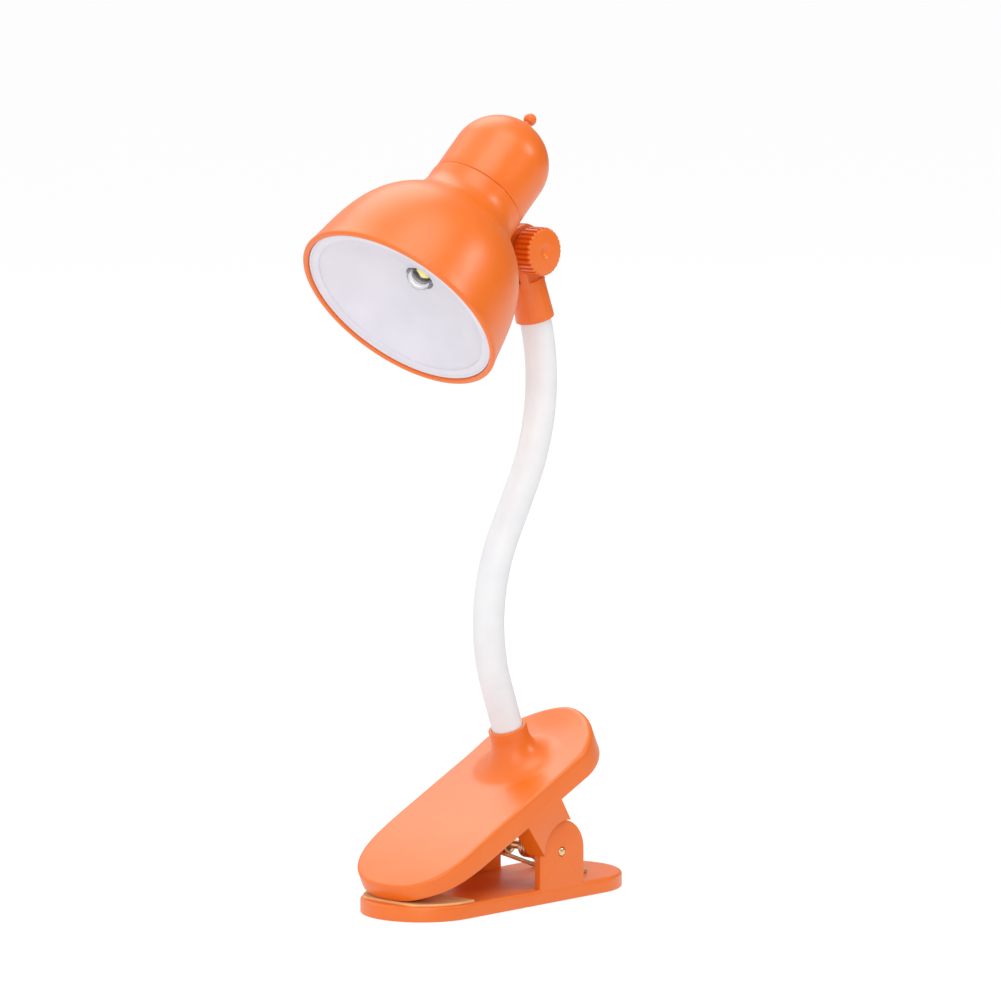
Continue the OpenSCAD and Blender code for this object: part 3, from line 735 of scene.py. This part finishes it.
def hinge_pin():
    """The pin, rounded off at both ends."""
    half = BASE_WIDTH / 2 + 0.15
    outline = [(0, -half), (0.7, -half + 0.04), (1.1, -half + 0.2), (PIN_R, -half + 0.55)]
    outline += [(r, -z) for r, z in reversed(outline)]
    place = Matrix.Translation(Vector(PIN)) @ SIDEWAYS
    piece("hinge_pin_turned", moved(turned(outline, 48), place), ROW, BRASS, "lower_jaw",
          ("hinge_pin",), sharp=60)


def spring_half(side):
    """One side of the wire: a foot on the plate, a coil on the pin, and half the loop."""
    width = COIL_TURNS * COIL_PITCH
    start = np.array([COIL_R * math.sin(FOOT_ANGLE), side * (COIL_IN + width),
                      -COIL_R * math.cos(FOOT_ANGLE)])
    foot = start + FOOT_REACH * np.array([math.cos(FOOT_ANGLE), 0, math.sin(FOOT_ANGLE)])
    path = [foot + (3, 0, 0), foot + (1.5, 0, 0.02), foot]
    path += [foot + (start - foot) * t for t in (0.1, 0.35, 0.65, 0.9)]
    sweep = 2 * math.pi * COIL_TURNS + math.pi + FOOT_ANGLE - LOOP_ANGLE
    for t in np.linspace(0, 1, 40 * COIL_TURNS):
        swing = FOOT_ANGLE - math.pi / 2 - sweep * t
        path.append(np.array([COIL_R * math.cos(swing), side * (COIL_IN + width * (1 - t)),
                              COIL_R * math.sin(swing)]))
    leave = path[-1]
    loop = np.array([-COIL_R * math.sin(LOOP_ANGLE), side * COIL_IN, COIL_R * math.cos(LOOP_ANGLE)])
    loop += LOOP_REACH * np.array([math.cos(LOOP_ANGLE), 0, math.sin(LOOP_ANGLE)])
    path += [leave + (loop - leave) * t for t in (0.15, 0.4, 0.65, 0.9)]
    path += [loop - (loop - leave) * 0.03, loop * (1, 0.85, 1), loop * (1, 0.4, 1)]
    return path


def torsion_spring():
    """Two coils on the pin, with feet on the plate and one loop under the cover."""
    path = spring_half(-1) + list(reversed(spring_half(1)))
    shape = moved(swept(path, SPRING_WIRE_R, 14), Matrix.Translation(Vector(PIN)))
    obj = piece("torsion_spring_wire", shape, ROW, SPRING, stands_for=("torsion_spring",))
    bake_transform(obj)


# ---- neck ----

LOW_STRAIGHT = 13.1
LOW_BEND_R = 52.5
LOW_SWEEP = 48.8
MID_STRAIGHT = 16.4
HIGH_BEND_R = 59.8
HIGH_SWEEP = 45.8
SLEEVE_R = 4.5
SLEEVE_BORE_R = 2.6
NECK_INSET = 5.5
SOCKET_INSET = 6.4


def neck_line(distance):
    """(point, heading) at a distance along the neck from the boss's rim."""
    heading = LOW_HEADING
    point = NECK_START + min(distance, LOW_STRAIGHT) * leaning(heading)
    rest = distance - LOW_STRAIGHT
    for bend_r, sweep, straight in ((LOW_BEND_R, LOW_SWEEP, MID_STRAIGHT), (-HIGH_BEND_R, -HIGH_SWEEP, 0)):
        if rest <= 0:
            return point, heading
        length = abs(math.radians(sweep) * bend_r)
        turn = min(rest / length, 1) * sweep
        centre = point + bend_r * leaning(heading + 90)
        point = centre - bend_r * leaning(heading + turn + 90)
        heading += turn
        rest -= length
        point = point + max(0, min(rest, straight)) * leaning(heading)
        rest -= straight
    return point, heading


LOW_LENGTH = math.radians(LOW_SWEEP) * LOW_BEND_R
HIGH_LENGTH = math.radians(HIGH_SWEEP) * HIGH_BEND_R
BEND_START = LOW_STRAIGHT + LOW_LENGTH + MID_STRAIGHT
NECK_LENGTH = BEND_START + HIGH_LENGTH
SLEEVE_CUTS = [-NECK_INSET, LOW_STRAIGHT, LOW_STRAIGHT + LOW_LENGTH / 2, LOW_STRAIGHT + LOW_LENGTH,
               BEND_START, BEND_START + HIGH_LENGTH / 2, NECK_LENGTH + SOCKET_INSET]


def sleeve_ring(distance, radius):
    """A ring round the neck's line, which runs on straight into the socket."""
    sides = 72
    point, heading = neck_line(min(distance, NECK_LENGTH))
    if distance > NECK_LENGTH:
        point = point + (distance - NECK_LENGTH) * leaning(heading)
    bearings = np.arange(sides) * 2 * math.pi / sides
    return ring_round(point, radius, bearings, lean=heading)


def neck_sleeves():
    """Each length of sleeve crosses one joint, drawn along the neck's line at rest."""
    margin = 1.0               # inset of the unused start and end points from each end of a length
    for i, (low, high) in enumerate(zip(SLEEVE_CUTS, SLEEVE_CUTS[1:])):
        stops = np.linspace(low, high, 26)
        rings = [sleeve_ring(s, SLEEVE_R) for s in stops]
        rings += [sleeve_ring(s, SLEEVE_BORE_R) for s in reversed(stops)]
        obj = piece(f"neck_sleeve_skin_{i + 1}", skin(rings, loop=True), ROW, SLEEVE,
                    stands_for=(f"neck_sleeve_{i + 1}",), sharp=60)
        start = neck_line(max(low, 0) + margin)[0] * MM
        end = neck_line(min(high, NECK_LENGTH) - margin)[0] * MM
        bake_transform(obj)


# ---- tilt joint ----

KNOB_R = 6.9
KNOB_TEETH = 28
KNOB_BACK = 4.2
KNOB_FACE = 10.0


def knob_outline():
    """(radius, height, groove) points from the knob's back to its dimpled face; groove is 0 to 1."""
    crown = 0.25
    dimple_r = 2.5
    dimple_depth = 0.95
    edge_r = 0.9
    face_r = KNOB_R - edge_r
    outline = [(0, KNOB_BACK, 0), (3.0, KNOB_BACK, 0), (KNOB_R - 0.35, KNOB_BACK, 0),
               (KNOB_R, KNOB_BACK + 0.3, 1)]
    outline += [(KNOB_R, y, 1) for y in np.linspace(KNOB_BACK + 0.8, KNOB_FACE - 1.2, 8)]
    for t in np.radians(np.linspace(0, 90, 7)):
        outline.append((face_r + edge_r * math.cos(t), KNOB_FACE - crown - edge_r * (1 - math.sin(t)),
                        max(0, math.cos(t) - 0.25)))
    for r in np.linspace(face_r, 0, 24)[1:]:
        height = KNOB_FACE - crown * (r / face_r) ** 2
        dip = 0.5 + 0.5 * math.cos(math.pi * min(r / dimple_r, 1))
        outline.append((r, height - dimple_depth * dip, 0))
    return outline


def tilt_knob():
    """Thumb knob: rounded grooves that fade out at the face, a crowned face and a finger dimple."""
    groove_depth = 0.62
    sides = KNOB_TEETH * 12
    bearings = np.arange(sides) * 2 * math.pi / sides
    groove = np.clip(np.cos(KNOB_TEETH * bearings), 0, 1) ** 0.8
    rings = []
    for r, y, amount in knob_outline():
        reach = r - groove_depth * amount * groove
        rings.append(ring_round((0, 0, y), 1.0, bearings) * np.c_[reach, reach, np.ones(sides)])
    shape = moved(skin(rings, caps=False), SIDEWAYS)
    piece("tilt_knob_shell", shape, TILT, ORANGE, "tilt_knob", ("tilt_knob",), sharp=50)


# ---- head: (r, a) outlines, with a the distance along the head's axis from the shade's rim ----

RIM_R = 31.4
OPENING_R = 29.45
CAP_R = 14.2
COLLAR_R = CAP_R + 0.25
COLLAR_TOP = 43.0
SPIGOT_R = CAP_R - 2.1
SPIGOT_TOP = 49
RIM_LEAN = 13                  # slope of the bell at its rim, from the axis
SHOULDER_LEAN = 51             # and at its shoulder
RIM_PULL = 8.5                 # how far the curve keeps each of those slopes
SHOULDER_PULL = 14.6
FILLET_R = 10.0
FILLET_TOP = 40.2
SHADE_WALL = 2.2
LUG_R = 7.6
LUG_Y = 1.6
PIVOT_A = 45.5
PIVOT_R = 24.1
DISH_R = 26.4
DISH_EDGE = 1.8
DISH_FLOOR = 12.4
DISH_WALL = 1.2


def bell_step(lean):
    """Unit step up the bell's outline, (r, a), that leans in towards the axis."""
    return np.array([-math.sin(math.radians(lean)), math.cos(math.radians(lean))])


def bell(inset, start, end, steps):
    """The bell's outline from the rim (0) to the shoulder (1), moved inwards by inset."""
    rim = np.array([RIM_R - 0.25, 0.4])
    lean = math.radians(SHOULDER_LEAN)
    shoulder = np.array([COLLAR_R + FILLET_R * (1 - math.cos(lean)),
                         FILLET_TOP - FILLET_R * math.sin(lean)])
    pulls = (rim, rim + RIM_PULL * bell_step(RIM_LEAN),
             shoulder - SHOULDER_PULL * bell_step(SHOULDER_LEAN), shoulder)
    points = []
    for t in np.linspace(start, end, steps + 1):
        chain = pulls
        while len(chain) > 2:
            chain = [p + (q - p) * t for p, q in zip(chain, chain[1:])]
        along = chain[1] - chain[0]
        ahead = along / np.linalg.norm(along)
        points.append(chain[0] + along * t + inset * np.array([-ahead[1], ahead[0]]))
    return np.array(points)


def fillet(inset, start, end, steps):
    """The hollow between the bell's shoulder and the collar."""
    return arc((COLLAR_R + FILLET_R, FILLET_TOP), FILLET_R + inset, start, end, steps)


def lamp_shade():
    """Bell, collar and spigot turned in one, with the tilt lug."""
    spigot_bore = SPIGOT_R - 1.4
    seat_a = 41                # the battery holder stands on this ledge
    seat_hole = 9.6
    shoulder = 180 + SHOULDER_LEAN
    lip = rounded([(OPENING_R, 2.4, 0), (OPENING_R, 0, 0.45), (RIM_R - 0.15, 0, 0.6),
                   (*bell(0, 0.06, 0.06, 1)[0], 0)], steps=6)
    collar = rounded([(COLLAR_R, COLLAR_TOP - 0.5, 0), (COLLAR_R, COLLAR_TOP, 0.3),
                      (SPIGOT_R, COLLAR_TOP, 0)])
    spigot = [(SPIGOT_R, SPIGOT_TOP - 0.2), (SPIGOT_R - 0.2, SPIGOT_TOP), (SPIGOT_R - 1.2, SPIGOT_TOP),
              (spigot_bore, SPIGOT_TOP - 0.2), (spigot_bore, seat_a), (seat_hole, seat_a),
              (seat_hole, 38.9)]
    outside = np.concatenate([bell(0, 0.08, 1, 60), fillet(0, shoulder, 180, 20)[1:]])
    inside = np.concatenate([fillet(SHADE_WALL, 184.6, shoulder, 8), bell(SHADE_WALL, 0.97, 0.1, 30)])
    outline = np.concatenate([lip, outside, collar, spigot, inside, [(OPENING_R - 0.9, 2.8)]])
    shape = joined(turned(outline, 224, loop=True), moved(lug(), SIDEWAYS))
    piece("lamp_shade_shell", shape, HEAD, ORANGE, "head", ("lamp_shade",), sharp=30)


def lug():
    """The tilt lug: a round tab on a tapering root that grows out of the bell."""
    root = SHADE_WALL / 2      # the root starts half way through the bell's wall
    root_top = COLLAR_TOP - 0.4
    round_tab = arc((PIVOT_R, PIVOT_A), LUG_R, -66, 128, 40)
    points = np.concatenate([[(COLLAR_R - 1.3, root_top)], fillet(root, 190, 180 + SHOULDER_LEAN, 6),
                             bell(root, 0.97, 0.85, 3), round_tab, [(COLLAR_R + 0.4, root_top)]])
    return slab(points, outward_of(points), edge_levels(-LUG_Y, LUG_Y, 0.3, 0.3))


def rear_cap():
    """Battery cap: a drum and a long dome, with the ring round the button."""
    wall = 1.7
    dome_a = 56.0
    rise = 13.8
    seat = dome_a + rise + 0.6
    pocket = seat - 1.3
    angles = np.radians(np.linspace(0, 76, 40))
    dome = np.c_[CAP_R * np.cos(angles), dome_a + rise * np.sin(angles)]
    ring = rounded([(*dome[-1], 0), (3.1, seat - 0.55, 0.15), (3.1, seat, 0.18), (2.2, seat, 0.12),
                    (2.15, pocket, 0)], steps=4)
    inner_r = CAP_R - wall
    inner = np.radians(np.linspace(84, 0, 20))
    lining = np.c_[inner_r * np.cos(inner), dome_a + (rise - wall) * np.sin(inner)]
    low = COLLAR_TOP + 0.2
    skirt = rounded([(inner_r, 50, 0), (inner_r, low, 0.15), (CAP_R, low, 0.35), (CAP_R, 46, 0)])
    stem_hole = [(1.25, pocket), (1.25, dome_a + rise - 2.0)]
    outline = np.concatenate([skirt, dome, ring[1:], stem_hole, lining])
    piece("rear_cap_shell", turned(outline, 160, loop=True), HEAD, ORANGE, "rear_cap",
          ("rear_cap",), sharp=35)


def finial_button():
    """The push button: a ball on a short stem."""
    ball_r = 1.85
    ball_a = 73.4
    neck_angle = -54
    stem_r = 1.1
    stem_end = 67.15
    ball = arc((0, ball_a), ball_r, 90, neck_angle, 24)
    stem = [(stem_r, ball_a - 2.0), (stem_r, stem_end + 0.05), (0.9, stem_end), (0, stem_end)]
    piece("finial_button_ball", turned(np.concatenate([ball, stem]), 48), HEAD, ORANGE,
          "finial_button", ("finial_button",), sharp=50)


def dish_a(r):
    """How deep the reflector's dish is at a radius."""
    return DISH_EDGE + (DISH_FLOOR - DISH_EDGE) * (1 - (r / DISH_R) ** 2)


def reflector():
    """White dish with a flat flange, a fine bead round the flange, and a lip round the lens."""
    hole = 4.3
    flange_a = 1.15
    bead = OPENING_R - 0.1
    bead_a = 0.7
    lip_r = hole + 0.7
    lip_a = DISH_FLOOR - 0.6
    edge_r = DISH_R - 0.3
    front = [(r, dish_a(r)) for r in np.linspace(lip_r, edge_r, 40)]
    back = [(r, dish_a(r) + DISH_WALL) for r in np.linspace(DISH_R, hole + 0.6, 30)]
    lip = rounded([(hole, DISH_FLOOR + 0.6, 0), (hole, lip_a, 0.2), (hole + 0.6, lip_a, 0.2),
                   (lip_r, dish_a(lip_r), 0)], steps=4)
    flange = rounded([(edge_r, dish_a(edge_r), 0), (DISH_R, 1.75, 0.15), (DISH_R + 0.2, flange_a, 0.15),
                      (bead - 0.8, flange_a, 0.15), (bead - 0.6, bead_a, 0.15), (bead, bead_a, 0.2),
                      (bead, 2.2, 0)], steps=5)
    outline = np.concatenate([lip, front[1:-1], flange, [(DISH_R + 1.2, 2.4)], back,
                              [(hole, DISH_FLOOR + DISH_WALL)]])
    piece("reflector_dish", turned(outline, 192, loop=True), HEAD, WHITE, "head",
          ("reflector",), sharp=35)


LENS_R = 4.0
LENS_A = 12.8
BOARD_A = 14.6


def led_lens():
    """Clear hollow dome with a short skirt that stands on the board."""
    skirt_r = 3.65
    foot = BOARD_A - 0.05
    outer = arc((0, LENS_A), LENS_R, -90, 0, 24)
    inner = arc((0, LENS_A), 2.9, 0, -90, 18)
    outline = np.concatenate([outer, [(LENS_R, foot), (skirt_r, foot), (skirt_r, LENS_A + 0.05)], inner])
    piece("led_lens_dome", turned(outline, 96), HEAD, CLEAR, "head", ("led_lens",), sharp=50)


def led():
    """A dark slug on the board that holds the phosphor die."""
    slug_r = 3.6
    slug_a = BOARD_A - 0.55
    slug_foot = BOARD_A - 0.02
    slug = turned([(0, slug_a), (3.0, slug_a), (3.3, slug_a - 0.1), (slug_r, slug_a + 0.05),
                   (slug_r, slug_foot), (0, slug_foot)], 64)
    piece("led_slug", slug, HEAD, SLUG, "head", sharp=30)
    points = rounded_box(-1.75, 1.75, 1.4, 0.3)
    die = slab(points, outward_of(points), edge_levels(BOARD_A - 1.2, BOARD_A - 0.56, 0.15, 0.02))
    piece("led_die", die, HEAD, PHOSPHOR, "head", ("led_emitter",))


CARRIED = {
    "neck_ferrule": FERRULE, "lead_wires": WIRE, "led_board": BOARD, "led_resistor": CERAMIC,
    "battery_holder": BLACK, "contact_spring": CONTACT, "rear_contact": CONTACT, "push_switch": BLACK,
    "button_spring": STEEL, "tilt_screw": STEEL, "friction_washers": STEEL, "neck_screw": STEEL,
    "tilt_nut": STEEL, "board_screws": STEEL, "button_cell_1": CELL, "button_cell_2": CELL,
    "button_cell_3": CELL, **{f"neck_core_{i}": CORE for i in range(1, 8)}}


def carried_nodes():
    """CAD nodes that stay as they are take their finish."""
    for name, finish in CARRIED.items():
        NODES[name].data.materials[0] = finish


# ---- light, floor and camera, in metres ----

VIEW_AZIMUTH = math.radians(46.5)
VIEW_DIP = math.radians(7.147)
VIEW_DISTANCE = 2.0
VIEW_CENTRE = (0.01184, 0.00805, 0.1127)
LIGHT_CENTRE = (0.0, 0.0, 0.12)
LIGHT_DISTANCE = 1.2
LIGHTS = {                     # the way to each light, its size, and its power in watts
    "key": ((-0.72, -0.68, 0.25), 0.8, 3.8),
    "overhead": ((-0.10, -0.36, 0.93), 0.9, 5.8),
    "side": ((0.53, -0.67, 0.52), 0.25, 2.8),
    "behind": ((0.33, 0.52, 0.78), 0.9, 4.6)}


def light(name, towards, size, power):
    """A round soft light, placed in a direction from the lamp's middle and facing it."""
    data = bpy.data.lights.new(name, "AREA")
    data.shape = "DISK"
    data.size = size
    data.energy = power
    obj = bpy.data.objects.new(name, data)
    direction = Vector(towards).normalized()
    obj.location = Vector(LIGHT_CENTRE) + direction * LIGHT_DISTANCE
    obj.rotation_euler = direction.to_track_quat("Z", "Y").to_euler()
    bpy.context.scene.collection.objects.link(obj)


def sky():
    """A studio that is bright behind and to the left, and dimmer to the right."""
    world = bpy.data.worlds.new("studio")
    bpy.context.scene.world = world
    world.use_nodes = True
    tree = world.node_tree
    where = tree.nodes.new("ShaderNodeTexCoord")
    towards = tree.nodes.new("ShaderNodeVectorMath")
    towards.operation = "DOT_PRODUCT"
    towards.inputs[1].default_value = (-0.62, 0.58, 0.53)
    shade = tree.nodes.new("ShaderNodeMapRange")
    shade.interpolation_type = "SMOOTHSTEP"
    shade.inputs["From Min"].default_value = -0.7
    shade.inputs["From Max"].default_value = 0.9
    shade.inputs["To Min"].default_value = 0.12
    shade.inputs["To Max"].default_value = 1.02
    back = tree.nodes["Background"]
    back.inputs["Color"].default_value = (1, 1, 1, 1)
    tree.links.new(where.outputs["Generated"], towards.inputs[0])
    tree.links.new(towards.outputs["Value"], shade.inputs["Value"])
    tree.links.new(shade.outputs["Result"], back.inputs["Strength"])


def floor():
    """A long white sheet that runs away behind the lamp."""
    width = 4.5
    length = 80
    bpy.ops.mesh.primitive_plane_add(size=1, location=(0, 0, -0.0001), rotation=(0, 0, -VIEW_AZIMUTH))
    plane = bpy.context.object
    plane.name = "floor"
    plane.scale = (width, length, 1)
    plane.data.materials.append(material("floor_white", (0.25, 0.25, 0.25), 0.9, Specular_IOR_Level=0.0,
                                         Emission_Color=(1, 1, 1, 1), Emission_Strength=0.80))


def camera():
    """A long lens, a little above the lamp's middle and looking across it."""
    data = bpy.data.cameras.new("camera")
    data.sensor_width = 36
    data.lens = 251.75
    obj = bpy.data.objects.new("camera", data)
    bpy.context.scene.collection.objects.link(obj)
    level = math.cos(VIEW_DIP)
    ahead = Vector((math.sin(VIEW_AZIMUTH) * level, math.cos(VIEW_AZIMUTH) * level, -math.sin(VIEW_DIP)))
    obj.location = Vector(VIEW_CENTRE) - VIEW_DISTANCE * ahead
    obj.rotation_euler = ahead.to_track_quat("-Z", "Y").to_euler()
    bpy.context.scene.camera = obj


def build():
    """The whole scene, with the lamp's pieces from the clip up to the head."""
    camera()
    lower_jaw()
    upper_jaw()
    grip_pads()
    hinge_pin()
    torsion_spring()
    neck_sleeves()
    softened("neck_socket_shell", "neck_socket", 0.35, ORANGE, "tilt_fork")
    tilt_knob()
    lamp_shade()
    rear_cap()
    finial_button()
    reflector()
    led_lens()
    led()
    carried_nodes()
    sky()
    for name, (towards, size, power) in LIGHTS.items():
        light(name, towards, size, power)
    floor()
    bpy.context.scene.view_settings.view_transform = "Standard"


build()
